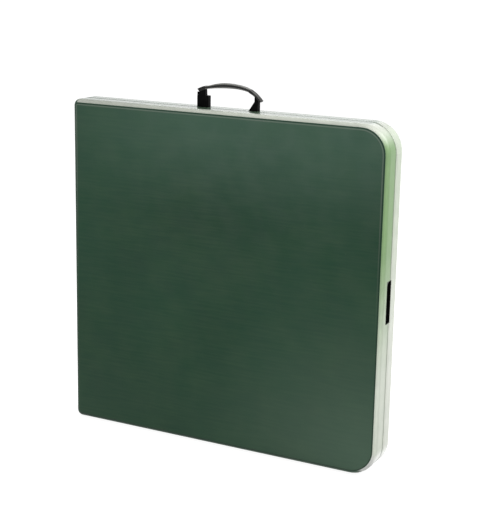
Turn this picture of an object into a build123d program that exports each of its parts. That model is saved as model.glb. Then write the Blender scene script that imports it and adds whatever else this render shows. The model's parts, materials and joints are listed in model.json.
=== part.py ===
from build123d import *
from math import atan2, degrees, hypot
import os

os.makedirs("parts", exist_ok=True)

# A fold-in-half table, closed and standing on its long edge. X runs from the fold to the table end,
# Y through the thickness, Z up. The front half lies at negative Y, the rear half at positive Y, and
# they meet at Y = 0. "Depth" is the distance from that seam into a half. Everything is in millimetres.

# Table halves
folded_width = 620
folded_height = 610
half_thickness = 34
end_corner_radius = 50
fold_corner_radius = 12
top_edge_radius = 11
seam_edge_radius = 3
rim_width = 22
deck_thickness = 9
cavity_corner_radius = 14
seam_gap = 0.6
overrun = 5

# Dimples moulded into the underside, which tie the two skins together
dimple_radius = 11
dimple_floor_radius = 7
dimple_depth = 6
dimple_margin_x = 45
dimple_margin_z = 75
dimple_columns = 10
dimple_rows = 9

# Clearances
running_gap = 0.3
pin_gap = 0.08
seat_gap = 0.1

# Fold hinge: one ear of each side rail turns on a shared rivet
axis_offset = 0.4
ear_radius = 7
ear_pitch = 2.3
hinge_rivet_radius = 3
rivet_head_radius = 5.5
rivet_head_height = 1.6

# Side rails, angle section
rail_gap = 4
rail_web = 2
rail_web_depth = 5
rail_flange = 15
rail_tail = 15
rail_screw_count = 5

# Screws
screw_radius = 1.9
screw_head_radius = 4
screw_head_height = 1.8
screw_grip = 7
screw_hole_gap = 0.3

# Legs: the pivot is this far from the table end, and this deep
pivot_to_end = 45.4
pivot_depth = 13
axle_radius = 6
axle_cap_radius = 9
axle_cap_height = 2
bush_radius = 8
bush_flange_radius = 9.5
bush_flange = 1.2
front_leg_edge = 90
rear_leg_edge = 60
leg_radius = 9.5
leg_wall = 1.2
leg_head = 5
outer_leg_length = 342
inner_leg_wall = 1.2
guide_length = 16
guide_wall = 2
guide_inset = 9
cross_bar_radius = 8
cross_bar_wall = 1.5
cross_bar_place = 250

# Twist-lock ring and foot of a leg
lock_radius = 11.3
lock_length = 26
lock_grip_length = 22
lock_rib_count = 12
lock_rib_radius = 1
foot_radius = 10.5
foot_floor = 4
foot_edge = 2
foot_length = 23.7

# Folding stays
stay_anchor_place = 200
stay_anchor_depth = 18.5
stay_thickness = 3
stay_width = 12
stay_eye_radius = 11
stay_spread = 40
stay_lane_gap = 2.5
stay_pin_radius = 3
elbow_pin_radius = 4
elbow_head_radius = 5.5
stay_head_height = 1.4
bracket_plate = 2
bracket_ear = 2.5
bracket_width = 32
bracket_ear_width = 13

# Finger slot in the table-end rims
slot_low = 272
slot_high = 346
slot_front_depth = 14
slot_rear_depth = 3
slot_high_radius = 9
slot_low_radius = 2

# Sliding latch behind the slot
latch_thickness = 4
latch_width = 14
latch_depth = 3
latch_travel = 6
latch_body_low = 256
latch_body_high = 290
latch_reach = 8
latch_lip = 6
latch_neck = 6
latch_lip_depth = 3.5
latch_tab_reach = 13
latch_tab_height = 6
latch_tab_width = 6
guide_low = 263
guide_high = 283
guide_block = 8
guide_back = 24
guide_lip = 1.2
keeper_plate = 2.5
keeper_depth = 1
keeper_width = 16
keeper_margin = 1
keeper_low = 216
keeper_high = 272
keeper_flange_depth = 20

# Carry handle: a moulded arch on two legs that slide in wells in the rear half's upper rim
handle_front = 2.8
handle_leg_depth = 10.4
strap_front = 3.4
strap_width = 9.2
strap_half_span = 62.5
strap_rise = 43.8
strap_upper_shares = [
    (-1.000, 0.676), (-0.765, 0.826), (-0.515, 0.945), (-0.290, 0.990), (-0.060, 1.000),
    (0.163, 0.977), (0.387, 0.913), (0.563, 0.826), (0.730, 0.690), (0.947, 0.402),
]
strap_lower_shares = [
    (-0.944, 0.589), (-0.680, 0.735), (-0.420, 0.795), (-0.200, 0.818), (0.070, 0.835),
    (0.250, 0.828), (0.400, 0.802), (0.550, 0.745), (0.700, 0.645), (0.918, 0.370),
]
cover_thickness = 0.9
left_sleeve_inner = 50
right_sleeve_inner = 36.5
left_leg_outer = 66
left_leg_inner = 43.3
left_neck_outer = 64
left_neck_inner = 49.6
left_outer_shoulder = 17
left_shoulder = 20
right_leg_outer = 54
right_leg_inner = 36.5
right_neck_inner = 47.5
right_shoulder = 16.5
well_ledge = 5
well_gap = 0.4
handle_foot_height = 3
handle_foot_overhang = 2.5

# Derived places
axis_x = -(folded_width + axis_offset - ear_radius) / 2 - axis_offset
panel_x = axis_x + axis_offset + folded_width / 2
mid_z = folded_height / 2
cavity_depth = half_thickness - deck_thickness
pivot_x = panel_x + folded_width / 2 - pivot_to_end
end_wall_x = panel_x + folded_width / 2 - rim_width
fold_wall_x = panel_x - folded_width / 2 + rim_width
rail_inset = rim_width + rail_gap
flange_depth = cavity_depth - rail_web
inner_leg_radius = leg_radius - leg_wall - 2 * running_gap
cross_bar_x = pivot_x - cross_bar_place
anchor_x = pivot_x - stay_anchor_place

# Stay lengths: folded, the elbow lies on the leg's centre line; open, the two links are in line
anchor_rise = stay_anchor_depth - pivot_depth
stay_reach = hypot(stay_anchor_place, cross_bar_place + anchor_rise)
place_step = stay_anchor_place - cross_bar_place
lower_link = (stay_reach**2 - place_step**2 - anchor_rise**2) / (2 * (stay_reach + place_step))
upper_link = stay_reach - lower_link
elbow_x = cross_bar_x + lower_link
upper_lane = stay_spread + stay_thickness
keeper_flange_high = latch_body_low - latch_lip - latch_travel - keeper_margin
lower_lane = upper_lane + stay_lane_gap


def at_depth(depth):
    # Parallel to the seam inside the front half: sketch x is X, sketch y is Z
    return Plane.XZ.offset(depth)


def finish(piece, node, rear=False):
    # Pieces are drawn in the front half, and the rear half's are mirrored across the seam
    if rear:
        with piece:
            mirror(about=Plane.XZ, mode=Mode.REPLACE)
    piece.part.label = node
    export_step(piece.part, f"parts/{node}.step")


def side_name(rear):
    return "rear" if rear else "front"


def rail_base(rear):
    return rail_inset + (ear_pitch if rear else 0)


def leg_places(rear):
    spread = mid_z - (rear_leg_edge if rear else front_leg_edge)
    return {"lower": mid_z - spread, "upper": mid_z + spread}


def rail_screw_places(rear):
    first = fold_wall_x + rail_flange
    last = pivot_x - rail_tail
    step = (last - first) / (rail_screw_count - 1)
    flange_mid = rail_base(rear) + rail_web + (rail_flange - rail_web) / 2
    places = []
    for index in range(rail_screw_count):
        places.append((first + index * step, flange_mid))
        places.append((first + index * step, folded_height - flange_mid))
    return places


def bracket_screw_places():
    reach_x = bracket_width / 2 - screw_head_radius - seat_gap
    reach_z = stay_spread / 2
    return [(anchor_x + sx * reach_x, mid_z + sz * reach_z) for sx in (-1, 1) for sz in (-1, 1)]


def keeper_screw_places():
    middle = (keeper_low + keeper_flange_high) / 2
    step = (keeper_flange_high - keeper_low) / 4
    return [middle - step, middle + step]


def guide_screw_places():
    middle = (guide_low + guide_high) / 2
    step = (guide_high - guide_low) / 4
    return [middle - step, middle + step]


def guide_screw_depth():
    return (latch_depth + latch_width + running_gap + guide_back) / 2


def dimple_places():
    # A regular field, kept off the screws
    taken = rail_screw_places(False) + rail_screw_places(True) + bracket_screw_places()
    keep_off = dimple_radius + 2 * screw_radius
    pitch_x = (folded_width - 2 * rim_width - 2 * dimple_margin_x) / (dimple_columns - 1)
    pitch_z = (folded_height - 2 * rim_width - 2 * dimple_margin_z) / (dimple_rows - 1)
    places = []
    for column in range(dimple_columns):
        for row in range(dimple_rows):
            x = panel_x + (column - (dimple_columns - 1) / 2) * pitch_x
            z = mid_z + (row - (dimple_rows - 1) / 2) * pitch_z
            if all(hypot(x - a, z - b) > keep_off for a, b in taken):
                places.append((x, z))
    return places


def well_spans():
    return [(-left_leg_outer, -left_leg_inner), (right_leg_inner, right_leg_outer)]


def make_tabletop(rear):
    notch_high = rail_inset + ear_pitch + 2 * rail_web + rivet_head_height + rail_gap / 2
    with BuildPart() as top:
        with BuildSketch(at_depth(seam_gap / 2)) as outline:
            with Locations((panel_x, mid_z)):
                Rectangle(folded_width, folded_height)
            fillet(outline.vertices().group_by(Axis.X)[-1], end_corner_radius)
            fillet(outline.vertices().group_by(Axis.X)[0], fold_corner_radius)
        extrude(amount=half_thickness - seam_gap / 2)
        fillet(top.edges().group_by(Axis.Y)[0], top_edge_radius)
        fillet(top.edges().group_by(Axis.Y)[-1], seam_edge_radius)
        with BuildSketch(at_depth(0)) as cavity:
            with Locations((panel_x, mid_z)):
                Rectangle(folded_width - 2 * rim_width, folded_height - 2 * rim_width)
            fillet(cavity.vertices(), cavity_corner_radius)
        extrude(amount=cavity_depth, mode=Mode.SUBTRACT)
        # Conical dimples in the deck's underside
        slope = degrees(atan2(dimple_radius - dimple_floor_radius, dimple_depth))
        with BuildSketch(at_depth(cavity_depth)):
            with Locations(*dimple_places()):
                Circle(dimple_radius)
        extrude(amount=dimple_depth, taper=slope, mode=Mode.SUBTRACT)
        # Notches in the fold-side rim for the hinge ears
        notch_tall = notch_high - rim_width
        with BuildSketch(at_depth(0)):
            for low in (rim_width, folded_height - notch_high):
                with Locations((fold_wall_x - rim_width / 2, low + notch_tall / 2)):
                    Rectangle(rim_width + 2 * overrun, notch_tall)
        extrude(amount=cavity_depth, mode=Mode.SUBTRACT)
        # Finger slot through the table-end rim
        slot_depth = slot_rear_depth if rear else slot_front_depth
        with BuildSketch(Plane.YZ.offset(end_wall_x - overrun)) as slot:
            with Locations((-slot_depth / 2 + overrun / 2, (slot_low + slot_high) / 2)):
                Rectangle(slot_depth + overrun, slot_high - slot_low)
            # Sketch x runs with Y here, so the deep corners are the ones with the least x
            fillet(slot.vertices().group_by(Axis.X)[0].sort_by(Axis.Y)[-1], min(slot_high_radius, slot_depth))
            fillet(slot.vertices().group_by(Axis.X)[0].sort_by(Axis.Y)[0], slot_low_radius)
        extrude(amount=rim_width + 2 * overrun, mode=Mode.SUBTRACT)
        # Screw holes in the deck
        with BuildSketch(at_depth(cavity_depth)):
            with Locations(*rail_screw_places(rear), *bracket_screw_places()):
                Circle(screw_radius + seat_gap)
        extrude(amount=screw_grip + seat_gap, mode=Mode.SUBTRACT)
        # Screw holes in the table-end rim for the latch guide or its keeper
        heights = keeper_screw_places() if rear else guide_screw_places()
        hole_depth = keeper_flange_depth / 2 if rear else guide_screw_depth()
        with BuildSketch(Plane.YZ.offset(end_wall_x)):
            with Locations(*[(-hole_depth, height) for height in heights]):
                Circle(screw_radius + seat_gap)
        extrude(amount=screw_grip + seat_gap, mode=Mode.SUBTRACT)
        if rear:
            # Handle wells: a close mouth in the upper rim, and a wider pocket below its ledge
            for low, high in well_spans():
                well_x = (low + high) / 2
                well_y = -handle_front - handle_leg_depth / 2
                with BuildSketch(Plane.XY.offset(folded_height + overrun)):
                    with Locations((well_x, well_y)):
                        Rectangle(high - low + 2 * well_gap, handle_leg_depth + 2 * well_gap)
                extrude(amount=-(rim_width + 2 * overrun), mode=Mode.SUBTRACT)
                with BuildSketch(Plane.XY.offset(folded_height - well_ledge)):
                    with Locations((well_x, well_y)):
                        Rectangle(
                            high - low + 2 * handle_foot_overhang + 2 * well_gap,
                            handle_leg_depth + 2 * well_gap,
                        )
                extrude(amount=-(rim_width + overrun - well_ledge), mode=Mode.SUBTRACT)
    finish(top, f"{side_name(rear)}_tabletop", rear)


def make_side_rails(rear):
    base = rail_base(rear)
    tail_x = pivot_x + rail_tail
    web_high = cavity_depth
    with BuildPart() as rails:
        with BuildSketch(Plane.XY.offset(base)):
            with Locations((axis_x, 0)):
                Circle(ear_radius)
            with Locations((fold_wall_x, -(rail_web_depth + web_high) / 2)):
                Rectangle(overrun, web_high - rail_web_depth)
            make_hull()
            with Locations(((fold_wall_x + tail_x) / 2, -(rail_web_depth + web_high) / 2)):
                Rectangle(tail_x - fold_wall_x, web_high - rail_web_depth)
            with Locations((axis_x, 0)):
                Circle(hinge_rivet_radius + pin_gap, mode=Mode.SUBTRACT)
            with Locations((pivot_x, -pivot_depth)):
                Circle(bush_radius + seat_gap, mode=Mode.SUBTRACT)
        extrude(amount=rail_web)
        with BuildSketch(at_depth(flange_depth)):
            flange_start = fold_wall_x + rail_web
            with Locations(((flange_start + tail_x) / 2, base + rail_flange / 2)):
                Rectangle(tail_x - flange_start, rail_flange)
        extrude(amount=rail_web)
        low_places = [place for place in rail_screw_places(rear) if place[1] < mid_z]
        with BuildSketch(at_depth(flange_depth)):
            with Locations(*low_places):
                Circle(screw_radius + screw_hole_gap)
        extrude(amount=rail_web, mode=Mode.SUBTRACT)
        mirror(about=Plane.XY.offset(mid_z))
    finish(rails, f"{side_name(rear)}_side_rails", rear)


def make_hinge_rivets():
    base = rail_inset - seat_gap
    length = ear_pitch + rail_web + 2 * seat_gap
    with BuildPart() as rivets:
        with BuildSketch(Plane.XY.offset(base - rivet_head_height)):
            with Locations((axis_x, 0)):
                Circle(rivet_head_radius)
        extrude(amount=rivet_head_height)
        with BuildSketch(Plane.XY.offset(base)):
            with Locations((axis_x, 0)):
                Circle(hinge_rivet_radius)
        extrude(amount=length)
        with BuildSketch(Plane.XY.offset(base + length)):
            with Locations((axis_x, 0)):
                Circle(rivet_head_radius)
        extrude(amount=rivet_head_height)
        mirror(about=Plane.XY.offset(mid_z))
    finish(rivets, "hinge_rivets")


def make_deck_screws(node, places, seat_depth, rear):
    # Pan-head screws driven into the deck, with their heads on a plate at seat_depth
    with BuildPart() as screws:
        with BuildSketch(at_depth(seat_depth - screw_head_height)):
            with Locations(*places):
                Circle(screw_head_radius)
        extrude(amount=screw_head_height)
        chamfer(screws.edges().group_by(Axis.Y)[-1], screw_head_height / 3)
        with BuildSketch(at_depth(seat_depth)):
            with Locations(*places):
                Circle(screw_radius)
        extrude(amount=cavity_depth - seat_depth + screw_grip)
    finish(screws, node, rear)


def make_rim_screws(node, depth, heights, seat_x, rear):
    # Pan-head screws driven into the table-end rim
    with BuildPart() as screws:
        with BuildSketch(Plane.YZ.offset(seat_x)):
            with Locations(*[(-depth, height) for height in heights]):
                Circle(screw_head_radius)
        extrude(amount=-screw_head_height)
        chamfer(screws.edges().group_by(Axis.X)[0], screw_head_height / 3)
        with BuildSketch(Plane.YZ.offset(seat_x)):
            with Locations(*[(-depth, height) for height in heights]):
                Circle(screw_radius)
        extrude(amount=end_wall_x - seat_x + screw_grip)
    finish(screws, node, rear)


def make_axle(rear):
    # The rod that the legs turn on, from rail to rail
    low = rail_base(rear) - axle_cap_height - seat_gap
    with BuildPart() as axle:
        with BuildSketch(Plane.XY.offset(low)):
            with Locations((pivot_x, -pivot_depth)):
                Circle(axle_radius)
        extrude(amount=folded_height - 2 * low)
    finish(axle, f"{side_name(rear)}_leg_axle", rear)


def make_axle_caps(rear):
    low = rail_base(rear) - seat_gap - axle_cap_height
    with BuildPart() as caps:
        with BuildSketch(Plane.XY.offset(low)):
            with Locations((pivot_x, -pivot_depth)):
                Circle(axle_cap_radius)
                Circle(axle_radius + seat_gap, mode=Mode.SUBTRACT)
        extrude(amount=axle_cap_height)
        mirror(about=Plane.XY.offset(mid_z))
    finish(caps, f"{side_name(rear)}_axle_caps", rear)


def make_axle_bushes(rear):
    # Flanged bushes in the rails, which the axle turns in
    base = rail_base(rear)
    with BuildPart() as bushes:
        with BuildSketch(Plane.XY.offset(base)):
            with Locations((pivot_x, -pivot_depth)):
                Circle(bush_radius)
        extrude(amount=rail_web)
        with BuildSketch(Plane.XY.offset(base + rail_web)):
            with Locations((pivot_x, -pivot_depth)):
                Circle(bush_flange_radius)
        extrude(amount=bush_flange)
        with BuildSketch(Plane.XY.offset(base)):
            with Locations((pivot_x, -pivot_depth)):
                Circle(axle_radius + pin_gap)
        extrude(amount=rail_web + bush_flange, mode=Mode.SUBTRACT)
        mirror(about=Plane.XY.offset(mid_z))
    finish(bushes, f"{side_name(rear)}_axle_bushes", rear)


def make_outer_legs(rear):
    heights = leg_places(rear).values()
    with BuildPart() as legs:
        with BuildSketch(Plane.YZ.offset(pivot_x + leg_head)):
            with Locations(*[(-pivot_depth, height) for height in heights]):
                Circle(leg_radius)
                Circle(leg_radius - leg_wall, mode=Mode.SUBTRACT)
        extrude(amount=-(leg_head + outer_leg_length))
        with BuildSketch(Plane.XY):
            with Locations((pivot_x, -pivot_depth)):
                Circle(axle_radius + seat_gap)
        extrude(amount=folded_height, mode=Mode.SUBTRACT)
    finish(legs, f"{side_name(rear)}_outer_legs", rear)


def make_cross_bar(rear):
    low, high = leg_places(rear).values()
    with BuildPart() as bar:
        with BuildSketch(Plane.XY.offset(low)):
            with Locations((cross_bar_x, -pivot_depth)):
                Circle(cross_bar_radius)
                Circle(cross_bar_radius - cross_bar_wall, mode=Mode.SUBTRACT)
        extrude(amount=high - low)
        # The ends are coped to sit on the leg tubes
        with BuildSketch(Plane.YZ.offset(cross_bar_x - 2 * leg_radius)):
            with Locations((-pivot_depth, low), (-pivot_depth, high)):
                Circle(leg_radius + seat_gap / 2)
        extrude(amount=4 * leg_radius, mode=Mode.SUBTRACT)
    finish(bar, f"{side_name(rear)}_leg_cross_bar", rear)


def revolve_along_leg(height, points, node, rear, fluted=False):
    # A turned piece on a leg's centre line, from points of (place along the leg, radius)
    with BuildPart() as turned:
        with BuildSketch(Plane.XY.offset(height)):
            with BuildLine():
                Polyline(*[(pivot_x - place, radius - pivot_depth) for place, radius in points], close=True)
            make_face()
        revolve(axis=Axis((pivot_x, -pivot_depth, height), (1, 0, 0)), revolution_arc=360)
        if fluted:
            # Grip flutes round the ring, from its upper end
            with BuildSketch(Plane.YZ.offset(pivot_x - points[0][0])):
                with Locations((-pivot_depth, height)):
                    with PolarLocations(lock_radius + lock_rib_radius / 3, lock_rib_count):
                        Circle(lock_rib_radius)
            extrude(amount=-lock_grip_length, mode=Mode.SUBTRACT)
    finish(turned, node, rear)


def make_leg_parts(rear):
    lock_end = outer_leg_length + lock_length - lock_grip_length
    lock_start = lock_end - lock_length
    lock_bore = leg_radius + running_gap
    step = outer_leg_length + running_gap
    foot_start = lock_end + running_gap
    foot_end = foot_start + foot_length
    inner_end = foot_end - foot_floor
    for place_name, height in leg_places(rear).items():
        prefix = f"{side_name(rear)}_{place_name}"
        bore = inner_leg_radius - inner_leg_wall
        inner_start = guide_inset + guide_wall
        revolve_along_leg(
            height,
            [(inner_start, bore), (inner_start, inner_leg_radius), (inner_end, inner_leg_radius), (inner_end, bore)],
            f"{prefix}_inner_leg",
            rear,
        )
        guide_radius = leg_radius - leg_wall - seat_gap
        guide_end = inner_start + guide_length
        revolve_along_leg(
            height,
            [(guide_inset, 0), (guide_inset, guide_radius), (inner_start - seat_gap, guide_radius),
             (inner_start - seat_gap, bore - seat_gap), (guide_end, bore - seat_gap), (guide_end, 0)],
            f"{prefix}_leg_guide",
            rear,
        )

        revolve_along_leg(
            height,
            [(lock_start, lock_bore), (lock_start, lock_radius), (lock_end, lock_radius),
             (lock_end, inner_leg_radius + running_gap), (step, inner_leg_radius + running_gap), (step, lock_bore)],
            f"{prefix}_lock_ring",
            rear,
            fluted=True,
        )
        revolve_along_leg(
            height,
            [(foot_start, inner_leg_radius + seat_gap), (foot_start, foot_radius - foot_edge / 2),
             (foot_start + foot_edge, foot_radius), (foot_end - foot_edge, foot_radius),
             (foot_end, foot_radius - foot_edge), (foot_end, 0), (inner_end + seat_gap, 0),
             (inner_end + seat_gap, inner_leg_radius + seat_gap)],
            f"{prefix}_foot",
            rear,
        )


def make_stay_bracket(rear):
    ear_face = stay_spread - running_gap
    with BuildPart() as bracket:
        with BuildSketch(at_depth(cavity_depth - bracket_plate)):
            with Locations((anchor_x, mid_z)):
                Rectangle(bracket_width, 2 * ear_face)
            with Locations(*bracket_screw_places()):
                Circle(screw_radius + screw_hole_gap, mode=Mode.SUBTRACT)
        extrude(amount=bracket_plate)
        with BuildSketch(Plane.XY.offset(mid_z + ear_face - bracket_ear)):
            with Locations((anchor_x, -stay_anchor_depth)):
                Circle(bracket_ear_width / 2)
            with Locations((anchor_x, -(stay_anchor_depth + cavity_depth) / 2)):
                Rectangle(bracket_ear_width, cavity_depth - stay_anchor_depth)
            with Locations((anchor_x, -cavity_depth - bracket_ear_width / 2)):
                Rectangle(2 * bracket_ear_width, bracket_ear_width, mode=Mode.SUBTRACT)
            with Locations((anchor_x, -stay_anchor_depth)):
                Circle(stay_pin_radius + seat_gap, mode=Mode.SUBTRACT)
        extrude(amount=bracket_ear)
        mirror(about=Plane.XY.offset(mid_z))
    finish(bracket, f"{side_name(rear)}_stay_bracket", rear)


def make_anchor_pin(rear):
    reach = upper_lane + seat_gap
    with BuildPart() as pin:
        with BuildSketch(Plane.XY.offset(mid_z - reach)):
            with Locations((anchor_x, -stay_anchor_depth)):
                Circle(stay_pin_radius)
        extrude(amount=2 * reach)
        for start in (mid_z - reach - stay_head_height, mid_z + reach):
            with BuildSketch(Plane.XY.offset(start)):
                with Locations((anchor_x, -stay_anchor_depth)):
                    Circle(elbow_head_radius)
            extrude(amount=stay_head_height)
    finish(pin, f"{side_name(rear)}_stay_anchor_pin", rear)


def make_upper_stays(rear):
    with BuildPart() as stays:
        with BuildSketch(Plane.XY.offset(mid_z + stay_spread)):
            with Locations((anchor_x, -stay_anchor_depth), (elbow_x, -pivot_depth)):
                Circle(stay_width / 2)
            make_hull()
            with Locations((anchor_x, -stay_anchor_depth)):
                Circle(stay_pin_radius + pin_gap, mode=Mode.SUBTRACT)
            with Locations((elbow_x, -pivot_depth)):
                Circle(elbow_pin_radius + seat_gap, mode=Mode.SUBTRACT)
        extrude(amount=stay_thickness)
        mirror(about=Plane.XY.offset(mid_z))
    finish(stays, f"{side_name(rear)}_upper_stays", rear)


def make_elbow_pin(rear):
    # The rod between the two upper links, headed at both ends
    reach = upper_lane + seat_gap
    with BuildPart() as pin:
        with BuildSketch(Plane.XY.offset(mid_z - reach)):
            with Locations((elbow_x, -pivot_depth)):
                Circle(elbow_pin_radius)
        extrude(amount=2 * reach)
        for start in (mid_z - reach - stay_head_height, mid_z + reach):
            with BuildSketch(Plane.XY.offset(start)):
                with Locations((elbow_x, -pivot_depth)):
                    Circle(elbow_head_radius)
            extrude(amount=stay_head_height)
    finish(pin, f"{side_name(rear)}_stay_elbow_pin", rear)


def make_lower_stays(rear):
    with BuildPart() as stays:
        with BuildSketch(Plane.XY.offset(mid_z + lower_lane)):
            with Locations((cross_bar_x, -pivot_depth)):
                Circle(stay_eye_radius)
            with Locations((elbow_x, -pivot_depth)):
                Circle(stay_width / 2)
            with Locations(((cross_bar_x + elbow_x) / 2, -pivot_depth)):
                Rectangle(lower_link, stay_width)
            with Locations((cross_bar_x, -pivot_depth)):
                Circle(cross_bar_radius + pin_gap, mode=Mode.SUBTRACT)
            with Locations((elbow_x, -pivot_depth)):
                Circle(stay_pin_radius, mode=Mode.SUBTRACT)
        extrude(amount=stay_thickness)
        mirror(about=Plane.XY.offset(mid_z))
    finish(stays, f"{side_name(rear)}_lower_stays", rear)


def make_latch():
    slide_x = end_wall_x - running_gap
    neck_high = latch_body_low + latch_neck
    with BuildPart() as slider:
        with BuildSketch(Plane.YZ.offset(slide_x)):
            with Locations((-latch_depth - latch_width / 2, (latch_body_low + latch_body_high) / 2)):
                Rectangle(latch_width, latch_body_high - latch_body_low)
            with Locations(((latch_reach - latch_depth) / 2, (latch_body_low + neck_high) / 2)):
                Rectangle(latch_reach + latch_depth, latch_neck)
            with Locations((latch_reach - latch_lip_depth / 2, latch_body_low)):
                Rectangle(latch_lip_depth, 2 * latch_lip)
        extrude(amount=-latch_thickness)
        with BuildSketch(Plane.YZ.offset(slide_x)):
            tab_depth = latch_depth + latch_width / 2
            with Locations((-tab_depth, latch_body_high - latch_tab_height / 2)):
                Rectangle(latch_tab_width, latch_tab_height)
        extrude(amount=latch_tab_reach)
        fillet(slider.edges().group_by(Axis.X)[-1], latch_tab_width / 6)
    finish(slider, "latch_slider")
    with BuildPart() as guide:
        with BuildSketch(Plane.YZ.offset(end_wall_x)):
            front = latch_depth - running_gap - guide_lip
            with Locations((-(front + guide_back) / 2, (guide_low + guide_high) / 2)):
                Rectangle(guide_back - front, guide_high - guide_low)
        extrude(amount=-guide_block)
        with BuildSketch(Plane.YZ.offset(end_wall_x)):
            with Locations((-latch_depth - latch_width / 2, (guide_low + guide_high) / 2)):
                Rectangle(latch_width + 2 * running_gap, guide_high - guide_low)
        extrude(amount=-(latch_thickness + 2 * running_gap), mode=Mode.SUBTRACT)
        with BuildSketch(Plane.YZ.offset(end_wall_x)):
            with Locations(*[(-guide_screw_depth(), height) for height in guide_screw_places()]):
                Circle(screw_radius + seat_gap)
        extrude(amount=-guide_block, mode=Mode.SUBTRACT)
    finish(guide, "latch_guide")
    make_rim_screws(
        "latch_guide_screws", guide_screw_depth(), guide_screw_places(), end_wall_x - guide_block, False
    )
    window_low = latch_body_low - latch_lip - keeper_margin
    window_high = neck_high + keeper_margin
    with BuildPart() as keeper:
        with BuildSketch(at_depth(keeper_depth)):
            with Locations((end_wall_x - keeper_width / 2, (keeper_low + keeper_high) / 2)):
                Rectangle(keeper_width, keeper_high - keeper_low)
            window_wide = latch_thickness + running_gap + keeper_margin
            with Locations((end_wall_x - window_wide / 2, (window_low + window_high) / 2)):
                Rectangle(window_wide, window_high - window_low, mode=Mode.SUBTRACT)
        extrude(amount=keeper_plate)
        with BuildSketch(at_depth(keeper_depth)):
            with Locations((end_wall_x - keeper_plate / 2, (keeper_low + keeper_flange_high) / 2)):
                Rectangle(keeper_plate, keeper_flange_high - keeper_low)
        extrude(amount=keeper_flange_depth)
        with BuildSketch(Plane.YZ.offset(end_wall_x)):
            with Locations(*[(-keeper_flange_depth / 2, height) for height in keeper_screw_places()]):
                Circle(screw_radius + seat_gap)
        extrude(amount=-keeper_plate, mode=Mode.SUBTRACT)
    finish(keeper, "latch_keeper", True)
    make_rim_screws(
        "latch_keeper_screws", keeper_flange_depth / 2, keeper_screw_places(), end_wall_x - keeper_plate, True
    )


def strap_points(shares, lift=0):
    return [(sx * strap_half_span, sz * strap_rise + lift) for sx, sz in shares]


def strap_face(cover):
    # The arch seen from the front, widened by a cover, with z measured from the top of the closed case
    with BuildSketch() as face:
        with BuildLine():
            upper = Spline(*strap_points(strap_upper_shares, cover))
            lower = Spline(*strap_points(strap_lower_shares, -cover))
            for end, side in ((0, -cover), (1, cover)):
                high = upper @ end
                low = lower @ end
                if cover:
                    Polyline(high, (high.X + side, high.Y - cover), (low.X + side, low.Y + cover), low)
                else:
                    Line(high, low)
        make_face()
    return face.sketch


def make_handle():
    foot_top = -well_ledge - running_gap
    far = left_leg_outer + overrun
    above = strap_rise + overrun
    case_top = (0, folded_height)
    with BuildPart() as strap:
        with BuildSketch(at_depth(strap_front)):
            with Locations(case_top):
                add(strap_face(0))
        extrude(amount=strap_width)
    finish(strap, "handle_strap", True)
    outlines = {
        "left": [
            (-left_leg_outer, foot_top), (-left_leg_outer, left_outer_shoulder), (-left_neck_outer, strap_rise / 2),
            (-left_neck_outer, strap_rise), (-left_neck_inner, strap_rise), (-left_neck_inner, left_shoulder),
            (-left_leg_inner, left_shoulder), (-left_leg_inner, foot_top),
        ],
        "right": [
            (right_leg_outer, foot_top), (right_leg_outer, strap_rise), (right_neck_inner, strap_rise),
            (right_neck_inner, right_shoulder), (right_leg_inner, 0), (right_leg_inner, foot_top),
        ],
    }
    for name, points in outlines.items():
        with BuildSketch() as face:
            with BuildLine():
                Polyline(*points, close=True)
            make_face()
            # The leg ends at the underside of the arch's sleeve
            with BuildLine():
                lower = Spline(*strap_points(strap_lower_shares, -cover_thickness))
                Polyline(lower @ 1, (far, (lower @ 1).Y), (far, above), (-far, above), (-far, (lower @ 0).Y), lower @ 0)
            make_face(mode=Mode.SUBTRACT)
        xs = [point[0] for point in points]
        with BuildPart() as leg:
            with BuildSketch(at_depth(handle_front)):
                with Locations(case_top):
                    add(face.sketch)
            extrude(amount=handle_leg_depth)
            with BuildSketch(Plane.XY.offset(folded_height + foot_top)):
                with Locations(((min(xs) + max(xs)) / 2, -handle_front - handle_leg_depth / 2)):
                    Rectangle(max(xs) - min(xs) + 2 * handle_foot_overhang, handle_leg_depth)
            extrude(amount=-handle_foot_height)
        finish(leg, f"handle_{name}_leg", True)
    for name, low, high in (("left", -far, -left_sleeve_inner), ("right", right_sleeve_inner, far)):
        with BuildPart() as sleeve:
            with BuildSketch(at_depth(strap_front - cover_thickness)):
                with Locations(case_top):
                    add(strap_face(cover_thickness))
                with Locations(((low + high) / 2, folded_height)):
                    Rectangle(high - low, 2 * above, mode=Mode.INTERSECT)
            extrude(amount=strap_width + 2 * cover_thickness)
            with BuildSketch(at_depth(strap_front)):
                with Locations(case_top):
                    add(strap_face(0))
            extrude(amount=strap_width, mode=Mode.SUBTRACT)
        finish(sleeve, f"handle_{name}_sleeve", True)


for is_rear in (False, True):
    make_tabletop(is_rear)
    make_side_rails(is_rear)
    make_deck_screws(f"{side_name(is_rear)}_rail_screws", rail_screw_places(is_rear), flange_depth, is_rear)
    make_axle(is_rear)
    make_axle_caps(is_rear)
    make_axle_bushes(is_rear)
    make_outer_legs(is_rear)
    make_cross_bar(is_rear)
    make_leg_parts(is_rear)
    make_stay_bracket(is_rear)
    make_deck_screws(
        f"{side_name(is_rear)}_stay_bracket_screws", bracket_screw_places(), cavity_depth - bracket_plate, is_rear
    )
    make_anchor_pin(is_rear)
    make_upper_stays(is_rear)
    make_elbow_pin(is_rear)
    make_lower_stays(is_rear)
make_hinge_rivets()
make_latch()
make_handle()
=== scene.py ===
import json
import math

import bmesh
import bpy
import numpy as np
from mathutils import Matrix, Vector


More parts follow.
